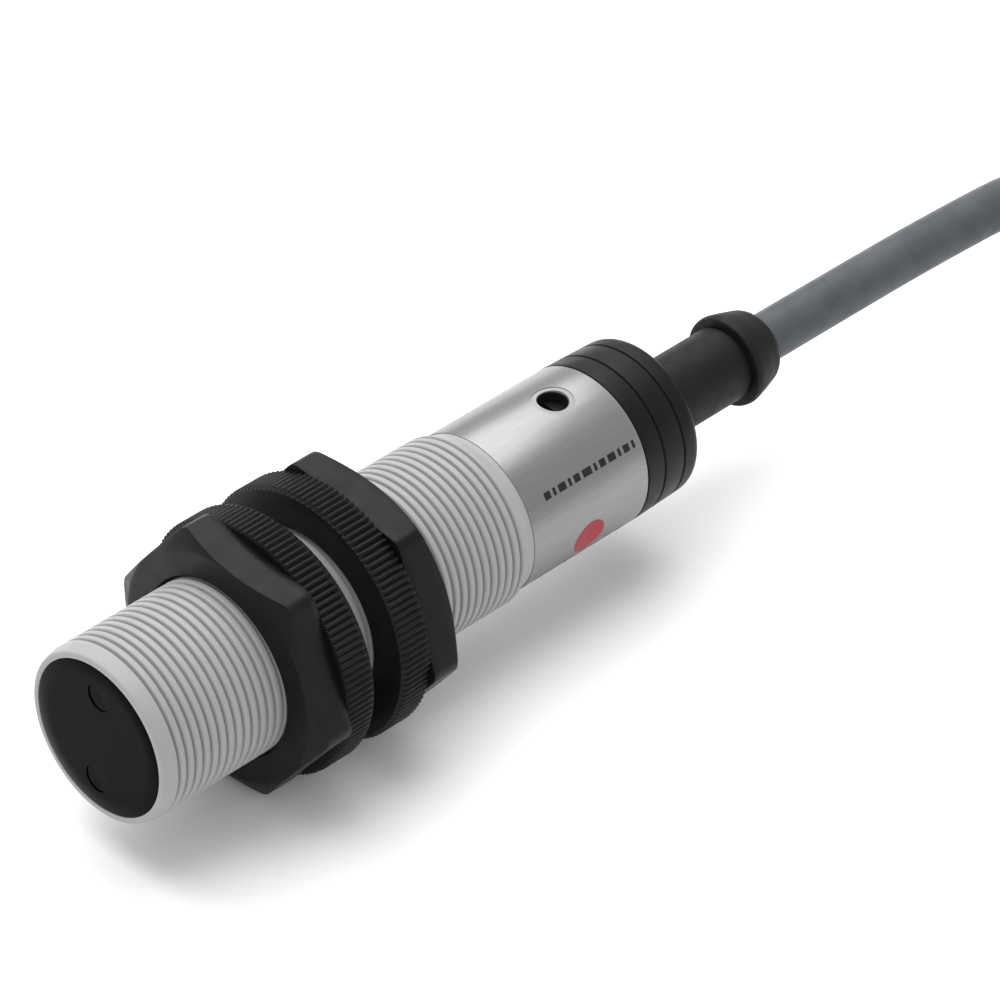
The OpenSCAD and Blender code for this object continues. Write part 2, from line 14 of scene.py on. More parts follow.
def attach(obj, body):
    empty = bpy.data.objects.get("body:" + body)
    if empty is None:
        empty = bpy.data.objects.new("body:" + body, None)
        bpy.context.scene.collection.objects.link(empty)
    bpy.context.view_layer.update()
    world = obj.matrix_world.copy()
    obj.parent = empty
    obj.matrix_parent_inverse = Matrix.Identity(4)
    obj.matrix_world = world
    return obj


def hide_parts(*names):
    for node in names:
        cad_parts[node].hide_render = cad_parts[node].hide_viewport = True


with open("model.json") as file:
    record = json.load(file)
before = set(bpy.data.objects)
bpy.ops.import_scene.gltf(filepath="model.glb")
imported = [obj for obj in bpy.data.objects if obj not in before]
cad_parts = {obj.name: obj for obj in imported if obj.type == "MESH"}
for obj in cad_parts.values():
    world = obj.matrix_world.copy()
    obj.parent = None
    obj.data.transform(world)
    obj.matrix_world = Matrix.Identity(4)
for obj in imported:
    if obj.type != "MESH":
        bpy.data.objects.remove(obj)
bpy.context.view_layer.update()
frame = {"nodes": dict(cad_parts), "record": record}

MM = 0.001
TAU = 2 * math.pi

# ---------------------------------------------------------------------------
# Sizes, in millimetres, where they aren't read from the frame
# ---------------------------------------------------------------------------
# Barrel: stations are distances behind the front face
CREST_R = 9.0
BODY_R = 8.45
BORE_R = 7.4
PITCH = 1.0
THREAD_END = 46.2
STEP_END = 47.7
BARREL_LEN = 63.8
ADJUSTER_Y = 58.5
HOLE_R = 1.6
DRILL_Z = (4.0, 12.0)
WINDOW_R = 8.05
WINDOW_T = 1.8
WINDOW_GAP = 0.03
# Nuts: the same nut twice, its hexagon outwards
NUT_R = 13.2
NUT_FLAT = 12.15
NUT_CORNER = 13.8
NUT_LEN = 7.65
HEX_LEN = 4.0
NUT_BORE = 9.06
NUT_TURN = math.radians(55.4)
TEETH = 120
FRONT_NUT_Y = 14.8
REAR_NUT_END = 33.6
# Label, cap, strain relief and cable
LABEL_Y0 = 48.1
LABEL_Y1 = 63.65
LABEL_R = 8.53
LABEL_HOLE_R = 2.1
CAP_END = 71.3
RELIEF_END = 88.0
CORD_R = 2.55
CORD_D = 2 * CORD_R
# The surface under the sensor, which rests on its nuts' knurls
REST_Z = -NUT_R


# ---------------------------------------------------------------------------
# Mesh helpers
# ---------------------------------------------------------------------------
def new_mesh(name, verts, faces, sharp=35, materials=()):
    """A mesh object from points in millimetres, shaded smooth up to an angle."""
    mesh = bpy.data.meshes.new(name)
    mesh.from_pydata([tuple(float(c) * MM for c in v) for v in verts], [], faces)
    mesh.validate()
    mesh.polygons.foreach_set("use_smooth", [True] * len(mesh.polygons))
    mesh.update()
    mesh.set_sharp_from_angle(angle=math.radians(sharp))
    obj = bpy.data.objects.new(name, mesh)
    bpy.context.collection.objects.link(obj)
    for m in materials:
        mesh.materials.append(m)
    return obj


def skin(name, rings, loop=False, caps=False, sharp=35, merge=False, materials=(), wrap=None):
    """Quads between rings of points; the rings close on themselves, or, in a helix, on the
    ring that wrap gives for each."""
    rings = np.asarray(rings, dtype=float)
    count, around = rings.shape[:2]
    faces = []
    last = count if loop else count - 1
    for i in range(last):
        a, b = i * around, ((i + 1) % count) * around
        for k in range(around):
            if k < around - 1 or wrap is None:
                n = (k + 1) % around
                faces.append((a + k, a + n, b + n, b + k))
            else:
                far_a, far_b = wrap(i) * around, wrap((i + 1) % count) * around
                faces.append((a + k, far_a, far_b, b + k))
    if caps:
        faces.append(tuple(reversed(range(around))))
        faces.append(tuple((count - 1) * around + k for k in range(around)))
    obj = new_mesh(name, rings.reshape(-1, 3), faces, sharp, materials)
    if merge:
        tidy(obj, sharp)
    return obj


def tidy(obj, sharp=35):
    """Merges coincident points, drops faces without area and turns the faces outwards."""
    bm = bmesh.new()
    bm.from_mesh(obj.data)
    bmesh.ops.remove_doubles(bm, verts=bm.verts, dist=2e-7)
    bmesh.ops.dissolve_degenerate(bm, edges=bm.edges, dist=1e-8)
    bmesh.ops.recalc_face_normals(bm, faces=bm.faces)
    bm.to_mesh(obj.data)
    bm.free()
    obj.data.set_sharp_from_angle(angle=math.radians(sharp))


def ring_y(r, y, around):
    """A ring of points about the Y axis; r and y are numbers or one value a point."""
    a = np.arange(around) * TAU / around
    r = np.broadcast_to(r, around)
    y = np.broadcast_to(y, around)
    return np.stack([r * np.cos(a), y, r * np.sin(a)], axis=1)


def lathe(name, profile, around=128, sharp=35, materials=()):
    """A solid of revolution about the Y axis from a closed outline of [radius, station]."""
    return skin(name, [ring_y(r, y, around) for r, y in profile], loop=True, sharp=sharp,
                merge=True, materials=materials)


def rounded(points, radius, steps=4):
    """A closed [radius, station] outline with each corner rounded by an arc-like curve.

    A point's third number, where it has one, is its own rounding instead of radius.
    """
    out = []
    count = len(points)
    for i, p in enumerate(points):
        p = np.array(p[:2], float)
        size = points[i][2] if len(points[i]) > 2 else radius
        before = np.array(points[i - 1][:2], float) - p
        after = np.array(points[(i + 1) % count][:2], float) - p
        lb, la = np.linalg.norm(before), np.linalg.norm(after)
        size = min(size, 0.45 * lb, 0.45 * la)
        if size <= 0:
            out.append(p)
            continue
        start, end = p + before / lb * size, p + after / la * size
        for s in range(steps + 1):
            t = s / steps
            out.append((1 - t) ** 2 * start + 2 * t * (1 - t) * p + t * t * end)
    return out


def cut(obj, cutter, sharp=35):
    """Subtracts one mesh object from another and applies the result."""
    mod = obj.modifiers.new("cut", "BOOLEAN")
    mod.operation = "DIFFERENCE"
    mod.solver = "EXACT"
    mod.object = cutter
    graph = bpy.context.evaluated_depsgraph_get()
    mesh = bpy.data.meshes.new_from_object(obj.evaluated_get(graph))
    obj.modifiers.clear()
    obj.data = mesh
    bpy.data.objects.remove(cutter, do_unlink=True)
    mesh.set_sharp_from_angle(angle=math.radians(sharp))


def adjuster_drill(name, r):
    """An upright cylinder that cuts a hole through the wall at the adjuster."""
    around = 96
    a = np.arange(around) * TAU / around
    rings = [np.stack([r * np.cos(a), ADJUSTER_Y + r * np.sin(a), np.full(around, z)], axis=1)
             for z in DRILL_Z]
    return skin(name, rings, caps=True)


def smooth_step(t):
    """Rises from 0 to 1, level at both ends."""
    t = np.clip(t, 0.0, 1.0)
    return t * t * (3 - 2 * t)


def smooth_points(points, step):
    """A smooth curve through given points, with a point about every step."""
    points = np.array(points, float)
    ends = [2 * points[0] - points[1], *points, 2 * points[-1] - points[-2]]
    out = []
    for i in range(1, len(ends) - 2):
        p0, p1, p2, p3 = ends[i - 1:i + 3]
        steps = max(2, round(np.linalg.norm(p2 - p1) / step))
        for s in range(steps):
            t = s / steps
            out.append(0.5 * (2 * p1 + (p2 - p0) * t + (2 * p0 - 5 * p1 + 4 * p2 - p3) * t ** 2
                              + (3 * p1 - p0 - 3 * p2 + p3) * t ** 3))
    out.append(points[-1])
    return np.array(out)


def sweep(name, path, radius, around, materials):
    """A closed round tube along a path, its rings kept from twisting.

    radius is a number, or one value for each point of the path.
    """
    path = np.asarray(path, float)
    tangents = np.gradient(path, axis=0)
    tangents /= np.linalg.norm(tangents, axis=1)[:, None]
    side = np.cross(tangents[0], (0, 0, 1.0))
    side /= np.linalg.norm(side)
    rings = []
    a = np.arange(around) * TAU / around
    for p, t, r in zip(path, tangents, np.broadcast_to(radius, len(path))):
        side = side - t * side.dot(t)
        side /= np.linalg.norm(side)
        up = np.cross(side, t)
        rings.append(p + r * (np.cos(a)[:, None] * side + np.sin(a)[:, None] * up))
    return skin(name, rings, caps=True, sharp=50, materials=materials)


def block(name, low, high, edge, materials=()):
    """A box with rounded edges, in millimetres."""
    bm = bmesh.new()
    bmesh.ops.create_cube(bm, size=1.0)
    size = np.array(high, float) - np.array(low, float)
    mid = (np.array(high, float) + np.array(low, float)) / 2
    for v in bm.verts:
        v.co = Vector(mid + np.array(v.co) * size)
    bmesh.ops.bevel(bm, geom=list(bm.edges), offset=edge, segments=3, affect="EDGES")
    verts = [tuple(v.co) for v in bm.verts]
    bm.verts.ensure_lookup_table()
    faces = [tuple(v.index for v in f.verts) for f in bm.faces]
    bm.free()
    return new_mesh(name, verts, faces, 40, materials)


def join(name, objects, sharp=50):
    """One object from several, each with its modifiers applied."""
    graph = bpy.context.evaluated_depsgraph_get()
    verts, faces = [], []
    for obj in objects:
        mesh = bpy.data.meshes.new_from_object(obj.evaluated_get(graph))
        base = len(verts)
        verts += [tuple(v.co / MM) for v in mesh.vertices]
        faces += [tuple(base + i for i in p.vertices) for p in mesh.polygons]
        bpy.data.meshes.remove(mesh)
    materials = list(objects[0].data.materials)
    for obj in objects:
        bpy.data.objects.remove(obj, do_unlink=True)
    return new_mesh(name, verts, faces, sharp, materials)


# ---------------------------------------------------------------------------
# Materials
# ---------------------------------------------------------------------------
class Nodes:
    """Short calls for building one material's node tree."""

    def __init__(self, name):
        self.mat = bpy.data.materials.new(name)
        self.mat.use_nodes = True
        self.tree = self.mat.node_tree
        self.bsdf = self.tree.nodes["Principled BSDF"]
        self.coords = self.add("ShaderNodeTexCoord").outputs["Object"]

    def add(self, kind, **values):
        node = self.tree.nodes.new(kind)
        for key, value in values.items():
            setattr(node, key, value)
        return node

    def link(self, a, b):
        self.tree.links.new(a, b)

    def noise(self, scale, detail=3.0, rough=0.5, vector=None):
        node = self.add("ShaderNodeTexNoise")
        node.inputs["Scale"].default_value = scale
        node.inputs["Detail"].default_value = detail
        node.inputs["Roughness"].default_value = rough
        self.link(vector or self.coords, node.inputs["Vector"])
        return node.outputs["Fac"]

    def stretch(self, x, y, z):
        node = self.add("ShaderNodeMapping")
        node.inputs["Scale"].default_value = (x, y, z)
        self.link(self.coords, node.inputs["Vector"])
        return node.outputs["Vector"]

    def ramp(self, fac, stops):
        node = self.add("ShaderNodeValToRGB")
        ramp = node.color_ramp
        while len(ramp.elements) < len(stops):
            ramp.elements.new(0.5)
        for element, (place, colour) in zip(ramp.elements, stops):
            element.position = place
            element.color = (*colour, 1.0)
        self.link(fac, node.inputs["Fac"])
        return node.outputs["Color"]

    def spread(self, fac, low, high):
        """Maps a noise's middle range to low..high."""
        node = self.add("ShaderNodeMapRange")
        node.inputs["From Min"].default_value = 0.3
        node.inputs["From Max"].default_value = 0.7
        node.inputs["To Min"].default_value = low
        node.inputs["To Max"].default_value = high
        self.link(fac, node.inputs["Value"])
        return node.outputs["Result"]

    def bump(self, height, strength, distance, normal=None):
        node = self.add("ShaderNodeBump")
        node.inputs["Strength"].default_value = strength
        node.inputs["Distance"].default_value = distance
        self.link(height, node.inputs["Height"])
        if normal is not None:
            self.link(normal, node.inputs["Normal"])
        return node.outputs["Normal"]

    def set(self, **values):
        for key, value in values.items():
            self.bsdf.inputs[key.replace("_", " ")].default_value = value


def mixed(colour, amount):
    """A lighter or darker shade of a colour."""
    return tuple(min(1.0, c * amount) for c in colour)


def plastic(name, colour, rough, grain=9000.0, depth=0.00002, tone=0.12, gloss=0.5):
    """Moulded plastic: fine spark-eroded grain, slow tone changes and rubbed patches."""
    n = Nodes(name)
    slow = n.noise(90.0, 2.0)
    n.link(n.ramp(slow, [(0.3, mixed(colour, 1 - tone)), (0.7, mixed(colour, 1 + tone))]),
           n.bsdf.inputs["Base Color"])
    n.link(n.spread(n.noise(420.0, 4.0), rough - 0.07, rough + 0.07),
           n.bsdf.inputs["Roughness"])
    fine = n.bump(n.noise(grain, 2.0, 0.6), 0.35, depth)
    n.link(n.bump(n.noise(260.0, 3.0), 0.12, depth * 6, fine), n.bsdf.inputs["Normal"])
    n.set(Specular_IOR_Level=gloss)
    return n.mat


def rubber(name, colour, rough, gloss=0.3):
    """Soft moulded PVC or rubber: matt, with a faint mottled skin."""
    n = Nodes(name)
    n.link(n.ramp(n.noise(300.0, 4.0), [(0.3, mixed(colour, 0.85)), (0.75, mixed(colour, 1.2))]),
           n.bsdf.inputs["Base Color"])
    n.link(n.spread(n.noise(900.0, 3.0), rough - 0.06, rough + 0.08),
           n.bsdf.inputs["Roughness"])
    n.link(n.bump(n.noise(5200.0, 3.0, 0.65), 0.4, 0.00003), n.bsdf.inputs["Normal"])
    n.set(Specular_IOR_Level=gloss)
    return n.mat


def foil(name):
    """Satin silver label film: metal flake under a matt lacquer, with fine lines."""
    n = Nodes(name)
    fine = n.noise(2600.0, 2.0, 0.5, n.stretch(1.0, 0.08, 1.0))
    n.link(n.ramp(fine, [(0.3, (0.225, 0.227, 0.23)), (0.7, (0.245, 0.247, 0.25))]),
           n.bsdf.inputs["Base Color"])
    n.link(n.spread(n.noise(2400.0, 2.0), 0.31, 0.34), n.bsdf.inputs["Roughness"])
    n.link(n.bump(n.noise(9000.0, 2.0), 0.05, 0.000004), n.bsdf.inputs["Normal"])
    n.set(Metallic=0.8, Coat_Weight=0.06, Coat_Roughness=0.15)
    return n.mat


def metal(name, colour, rough):
    """Plated or tinned metal with a fine grain in its colour, roughness and surface."""
    n = Nodes(name)
    lines = n.noise(3000.0, 2.0)
    n.link(n.ramp(lines, [(0.3, mixed(colour, 0.9)), (0.7, mixed(colour, 1.06))]),
           n.bsdf.inputs["Base Color"])
    n.link(n.spread(lines, rough - 0.06, rough + 0.08), n.bsdf.inputs["Roughness"])
    n.link(n.bump(lines, 0.15, 0.00001), n.bsdf.inputs["Normal"])
    n.set(Metallic=1.0)
    return n.mat


def glossy(name, colour, rough=0.12, gloss=0.03):
    """Polished optical plastic with faint flow and handling marks."""
    n = Nodes(name)
    n.link(n.ramp(n.noise(160.0, 3.0), [(0.3, mixed(colour, 0.8)), (0.7, mixed(colour, 1.25))]),
           n.bsdf.inputs["Base Color"])
    n.link(n.spread(n.noise(500.0, 5.0, 0.7), rough * 0.6, rough * 1.6),
           n.bsdf.inputs["Roughness"])
    n.link(n.bump(n.noise(120.0, 2.0), 0.05, 0.00003), n.bsdf.inputs["Normal"])
    n.set(Specular_IOR_Level=gloss)
    return n.mat


def clear(name, colour):
    """Clear moulded plastic, for the lenses."""
    n = Nodes(name)
    n.link(n.ramp(n.noise(200.0), [(0.3, mixed(colour, 0.95)), (0.7, colour)]),
           n.bsdf.inputs["Base Color"])
    n.link(n.spread(n.noise(400.0), 0.03, 0.09), n.bsdf.inputs["Roughness"])
    n.set(Transmission_Weight=0.85, IOR=1.49)
    return n.mat


def circuit(name):
    """Green solder mask with the faint relief of tracks under it."""
    n = Nodes(name)
    tracks = n.noise(1500.0, 1.0, 0.3, n.stretch(1.0, 0.25, 1.0))
    n.link(n.ramp(tracks, [(0.46, (0.01, 0.11, 0.04)), (0.5, (0.02, 0.2, 0.07))]),
           n.bsdf.inputs["Base Color"])
    n.link(n.spread(n.noise(800.0), 0.3, 0.5), n.bsdf.inputs["Roughness"])
    n.link(n.bump(tracks, 0.3, 0.00003), n.bsdf.inputs["Normal"])
    return n.mat


def floor_material():
    """Plain pale matt floor."""
    n = Nodes("studio_floor")
    n.link(n.ramp(n.noise(3.0), [(0.3, (0.9, 0.9, 0.9)), (0.7, (0.92, 0.92, 0.92))]),
           n.bsdf.inputs["Base Color"])
    n.set(Roughness=0.9)
    return n.mat


LIGHT_PLASTIC = plastic("light_plastic", (0.315, 0.317, 0.323), 0.45, tone=0.03, gloss=0.25)
BLACK_PLASTIC = plastic("black_plastic", (0.0055, 0.0055, 0.006), 0.4, depth=0.00004, gloss=0.14)
DARK_PLASTIC = plastic("dark_plastic", (0.012, 0.012, 0.0125), 0.34, gloss=0.3)
WINDOW_PLASTIC = glossy("window_plastic", (0.0015, 0.0012, 0.0013))
CLEAR_PLASTIC = clear("clear_plastic", (0.9, 0.93, 0.95))
CIRCUIT_BOARD = circuit("circuit_board")
CONTACT_METAL = metal("contact_metal", (0.8, 0.62, 0.3), 0.28)
TINNED_STEEL = metal("tinned_steel", (0.7, 0.7, 0.7), 0.3)
COMPONENT_TAN = plastic("component_tan", (0.5, 0.32, 0.14), 0.5)
TRIMMER_BLUE = plastic("trimmer_blue", (0.03, 0.08, 0.45), 0.4)
SILVER_FOIL = foil("silver_foil")
SEAL_RUBBER = rubber("seal_rubber", (0.012, 0.012, 0.012), 0.6)
RELIEF_RUBBER = rubber("relief_rubber", (0.0075, 0.0075, 0.008), 0.5, 0.15)
CABLE_SHEATH = rubber("cable_sheath", (0.068, 0.074, 0.081), 0.42, 0.2)
BROWN_CORE = rubber("brown_core", (0.11, 0.035, 0.012), 0.35)
BLACK_CORE = rubber("black_core", (0.012, 0.012, 0.012), 0.35)
BLUE_CORE = rubber("blue_core", (0.01, 0.06, 0.35), 0.35)
PRINT_BLACK = plastic("print_black", (0.012, 0.012, 0.012), 0.4, depth=0.00001, gloss=0.2)
PRINT_RED = plastic("print_red", (0.3, 0.014, 0.025), 0.45, depth=0.00001, tone=0.05, gloss=0.3)

SLOT_MATERIALS = {
    "light_plastic": LIGHT_PLASTIC,
    "window_plastic": WINDOW_PLASTIC,
    "clear_plastic": CLEAR_PLASTIC,
    "black_plastic": BLACK_PLASTIC,
    "dark_plastic": DARK_PLASTIC,
    "circuit_board": CIRCUIT_BOARD,
    "contact_metal": CONTACT_METAL,
    "tinned_steel": TINNED_STEEL,
    "component_tan": COMPONENT_TAN,
    "trimmer_blue": TRIMMER_BLUE,
    "silver_foil": SILVER_FOIL,
    "seal_rubber": SEAL_RUBBER,
    "relief_rubber": RELIEF_RUBBER,
    "cable_sheath": CABLE_SHEATH,
    "brown_core": BROWN_CORE,
    "black_core": BLACK_CORE,
    "blue_core": BLUE_CORE,
}


def dress_cad_nodes():
    """Gives every CAD node the material of its slot in the record."""
    for part in frame["record"]["subparts"]:
        mesh = frame["nodes"][part["node"]].data
        mesh.materials.clear()
        mesh.materials.append(SLOT_MATERIALS[part["material_slot"]])


# ---------------------------------------------------------------------------
# Camera and light
# ---------------------------------------------------------------------------
# The photographed view: where the camera is, in metres, and which ways are right and up in it
CAMERA_PLACE = Vector((0.28867, -0.27260, 0.35704))
CAMERA_RIGHT = Vector((0.71164, 0.69989, 0.06101))
CAMERA_UP = Vector((-0.47989, 0.42084, 0.76980))
LENS_MM = 211.6
SENSOR_MM = 36.0


def make_camera():
    """The photographed view: a long lens, above the front face and to its +X side."""
    data = bpy.data.cameras.new("camera")
    data.lens = LENS_MM
    data.sensor_width = SENSOR_MM
    data.clip_start = 0.01
    data.clip_end = 20.0
    camera = bpy.data.objects.new("camera", data)
    bpy.context.collection.objects.link(camera)
    back = CAMERA_RIGHT.cross(CAMERA_UP).normalized()
    up = back.cross(CAMERA_RIGHT).normalized()
    turn = Matrix((CAMERA_RIGHT.normalized(), up, back)).transposed().to_4x4()
    camera.matrix_world = Matrix.Translation(CAMERA_PLACE) @ turn
    bpy.context.scene.camera = camera


def area_light(name, place, aim, size, power):
    """A white rectangular lamp at a place, turned towards another."""
    data = bpy.data.lights.new(name, "AREA")
    data.shape = "RECTANGLE"
    data.size, data.size_y = size
    data.energy = power
    lamp = bpy.data.objects.new(name, data)
    bpy.context.collection.objects.link(lamp)
    lamp.location = place
    lamp.rotation_euler = (Vector(aim) - Vector(place)).to_track_quat("-Z", "Y").to_euler()


FLOOR_HALF = 4000
WORLD_STRENGTH = 0.72


def make_studio():
    """A pale floor, even light from all round, a soft key lamp and a weak fill."""
    corners = [(x * FLOOR_HALF, y * FLOOR_HALF, REST_Z)
               for x, y in ((-1, -1), (1, -1), (1, 1), (-1, 1))]
    floor = new_mesh("studio_floor_plane", corners, [(0, 1, 2, 3)], materials=[floor_material()])
    world = bpy.data.worlds.new("studio")
    world.use_nodes = True
    background = world.node_tree.nodes["Background"]
    background.inputs["Color"].default_value = (1.0, 1.0, 1.0, 1.0)
    background.inputs["Strength"].default_value = WORLD_STRENGTH
    bpy.context.scene.world = world
    bpy.context.scene.view_settings.view_transform = "Standard"
    centre = (0.0, 0.05, 0.0)
    area_light("key", (-0.35, 0.15, 0.75), centre, (1.1, 1.1), 12.0)
    area_light("fill", (0.7, -0.4, 0.35), centre, (0.7, 0.5), 0.5)


# ---------------------------------------------------------------------------
# Cable: its route in the open, then the turns of the hank, then the tail on top
# ---------------------------------------------------------------------------
CORD_LENGTH = 2052.0
# The route in the open, from the strain relief's end to the hank's first fold
RUN_POINTS = [
    (0, 0, 0), (0, 12, -0.1), (0, 24, -0.3), (0, 36, -0.9), (0, 41, -1.6), (0.7, 46, -2.7),
    (2.8, 50.7, -4.2), (6.2, 54.8, -5.9), (11.1, 59, -7.9), (15.1, 63.5, -9.3),
    (18.2, 68.6, -10.2), (20.3, 74, -10.6), (21.3, 78.5, -10.65), (21.6, 83, -10.65),
]
RUN_STEP = 2.0
# The hank's two folds are centred at HANK_Y0 and HANK_STRAIGHT further on, and the tie draws
# its runs in by HANK_PINCH between them
HANK_Y0 = RELIEF_END + RUN_POINTS[-1][1]
HANK_STRAIGHT = 70.0
HANK_MID_Y = HANK_Y0 + HANK_STRAIGHT / 2
HANK_FOLD_R = 21.6
HANK_PINCH = 6.0
HANK_STEP = 2.5
# The length over which a turn moves to the next one's place
CROSSING = 24.0
# The spacing of the sheath's rings, and the last stretch that has none before the end
RING_STEP = 2.4
END_STRETCH = 1.0
TIE_T = 0.8
TIE_W = 3.6
TIE_SLACK = 0.2
# How far along the runs the tie's thickness lifts the turns above it
TIE_LIFT_REACH = 7.0
# Each turn's place: columns in from the outside, and layers up from the surface
TURNS = [(0, 0), (1, 0), (1, 1), (0, 1), (0, 2), (1, 2), (1, 3), (0, 3), (0, 4)]


def hank_curve():
    """The middle line of a turn: a function from length to (place, outward), and its length."""
    half = HANK_STRAIGHT / 2
    waist = HANK_FOLD_R - HANK_PINCH
    arc_r = (waist ** 2 + half ** 2 - HANK_FOLD_R ** 2) / (2 * HANK_PINCH)
    centre_x = waist + arc_r
    lean = math.atan2(half, centre_x)
    fold_r, pinch_r = HANK_FOLD_R - CORD_D / 2, arc_r + CORD_D / 2
    y0, y1 = HANK_Y0, HANK_Y0 + HANK_STRAIGHT
    # Arcs: centre, radius, first and last angle, and 1 where outwards is away from the centre
    pieces = [
        (0.0, y0, fold_r, 0.0, lean, 1),
        (centre_x, HANK_MID_Y, pinch_r, math.pi + lean, math.pi - lean, -1),
        (0.0, y1, fold_r, -lean, math.pi + lean, 1),
        (-centre_x, HANK_MID_Y, pinch_r, lean, -lean, -1),
        (0.0, y0, fold_r, math.pi - lean, TAU, 1),
    ]
    lengths = [abs(b - a) * r for _, _, r, a, b, _ in pieces]
    total = sum(lengths)

    def at(s):
        s = s % total
        for (x, y, r, a, b, side), size in zip(pieces, lengths):
            if s <= size:
                angle = a + (b - a) * s / size
                out = np.array([math.cos(angle), math.sin(angle)])
                return np.array([x, y]) + r * out, side * out
            s -= size
        return np.array([fold_r, y0]), np.array([1.0, 0.0])
    return at, total


def cord_path():
    """The cable's whole centreline, cut to its real length."""
    at, total = hank_curve()
    period = total - CROSSING
    top_layer = TURNS[-1][1]
    run = np.array(RUN_POINTS, float) + (0, RELIEF_END, 0)
    out = list(smooth_points(run, RUN_STEP)[:-1])
    u = 0.0
    while u < period * len(TURNS):
        k = min(int(u // period), len(TURNS) - 1)
        share = smooth_step((u - k * period - (period - CROSSING)) / CROSSING)
        column, layer = TURNS[k]
        next_column, next_layer = TURNS[min(k + 1, len(TURNS) - 1)]
        column += (next_column - column) * share
        layer += (next_layer - layer) * share
        place, outward = at(u)
        place = place + outward * CORD_D * (0.5 - column)
        on_top = layer >= top_layer - 0.05
        lift = TIE_T * math.exp(-((place[1] - HANK_MID_Y) / TIE_LIFT_REACH) ** 2)
        z = REST_Z + CORD_R + CORD_D * layer + (0.0 if on_top else lift)
        out.append(np.array([place[0], place[1], z]))
        u += HANK_STEP
    out = np.array(out)
    lengths = np.concatenate([[0], np.cumsum(np.linalg.norm(np.diff(out, axis=0), axis=1))])
    stations = np.append(np.arange(0.0, CORD_LENGTH - END_STRETCH, RING_STEP), CORD_LENGTH)
    return np.stack([np.interp(stations, lengths, out[:, k]) for k in range(3)], axis=1)


# The stripped cores' routes: from the hank's first fold, and up from the top turns' rest
CORE_POINTS = {
    "brown": [(-8.9, 89.6, 3), (-12.9, 87.3, 1.6), (-16, 83.7, 0.3),
              (-18.1, 79.5, 0), (-19.2, 74.8, 0), (-19.3, 70, 0)],
    "black": [(-9.3, 90.5, 1.3), (-13.9, 88.1, 0.4), (-17.9, 84.3, 0),
              (-20.8, 79.7, 0), (-22.3, 74.6, 0), (-23, 70, 0)],
    "blue": [(-8.4, 88.6, 1.3), (-11.9, 86.2, 0.4), (-14.3, 82.6, 0),
              (-15.7, 78.4, 0), (-15.9, 73.8, 0), (-15.4, 69.4, 0)],
}
CORE_MATERIALS = {"brown": BROWN_CORE, "black": BLACK_CORE, "blue": BLUE_CORE}
CORE_R = 0.65
CORE_STEP = 1.0
FERRULE_LEN = 6.0
# A ferrule's outline: a mouth, four crimps and a tip, as (share of its length, radius)
FERRULE_SHAPE = [(0, 0.44), (0.02, 0.5), (0.06, 0.5), (0.1, 0.46), (0.25, 0.46)]
for crimp in (0.32, 0.47, 0.62, 0.77):
    FERRULE_SHAPE += [(crimp, 0.41), (round(crimp + 0.08, 2), 0.46)]
FERRULE_SHAPE += [(0.97, 0.44), (0.99, 0.38)]


def make_cores():
    """The three stripped cores and a crimped ferrule on each."""
    top = REST_Z + 4 * CORD_D + CORE_R
    pieces = []
    ferrules = []
    for colour, points in CORE_POINTS.items():
        path = smooth_points([(x, HANK_Y0 + y, top + z) for x, y, z in points], CORE_STEP)
        core = sweep(f"end_core_{colour}_wire", path, CORE_R, 20, [CORE_MATERIALS[colour]])
        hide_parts(f"end_core_{colour}")
        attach(core, "sensor")
        pieces.append(core)
        way = path[-1] - path[-2]
        way /= np.linalg.norm(way)
        line = [path[-1] + way * FERRULE_LEN * share for share, _ in FERRULE_SHAPE]
        radii = [r for _, r in FERRULE_SHAPE]
        ferrules.append(sweep(f"ferrule_{colour}", line, radii, 16, [TINNED_STEEL]))
    joined = join("core_ferrules_crimped", ferrules)
    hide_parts("core_ferrules")
    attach(joined, "sensor")
    pieces.append(joined)
    return pieces


def make_tie():
    """A moulded cable tie round the hank's waist: a band and its locking head."""
    waist_x = HANK_FOLD_R - HANK_PINCH + CORD_R + TIE_SLACK
    low, high = REST_Z + TIE_T, REST_Z + 4 * CORD_D + TIE_T + 0.05
    inner_corner, outer_corner, edge = 1.6, 2.4, 0.15
    head_out, head_half_y, head_half_z = 3.2, 2.7, 2.3

    def outline(grow, corner):
        """The band's inside, or that grown outwards, as a rectangle with round corners."""
        x, z0, z1 = waist_x + grow, low - grow, high + grow
        points = []
        for cx, cz, start in ((x, z0, -90), (x, z1, 0), (-x, z1, 90), (-x, z0, 180)):
            sx, sz = math.copysign(1, cx), 1 if cz == z1 else -1
            for step in range(9):
                a = math.radians(start + 90 * step / 8)
                points.append((cx - sx * corner + corner * math.cos(a),
                               cz - sz * corner + corner * math.sin(a)))
        return points

    rings = []
    for (xi, zi), (xo, zo) in zip(outline(0.0, inner_corner), outline(TIE_T, outer_corner)):
        d = np.array([xo - xi, zo - zi])
        d /= np.linalg.norm(d)
        section = [(xi, zi, -TIE_W / 2), (xo - d[0] * edge, zo - d[1] * edge, -TIE_W / 2),
                   (xo, zo, -TIE_W / 2 + edge), (xo, zo, TIE_W / 2 - edge),
                   (xo - d[0] * edge, zo - d[1] * edge, TIE_W / 2), (xi, zi, TIE_W / 2)]
        rings.append([(x, HANK_MID_Y + w, z) for x, z, w in section])
    band = skin("tie_band", rings, loop=True, sharp=40, materials=[DARK_PLASTIC])
    head = block("tie_head", (-waist_x - head_out, HANK_MID_Y - head_half_y, -head_half_z),
                 (-waist_x - 0.05, HANK_MID_Y + head_half_y, head_half_z), 0.5, [DARK_PLASTIC])
    tie = join("cable_tie_band", [band, head])
    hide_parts("cable_tie")
    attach(tie, "sensor")
    return tie


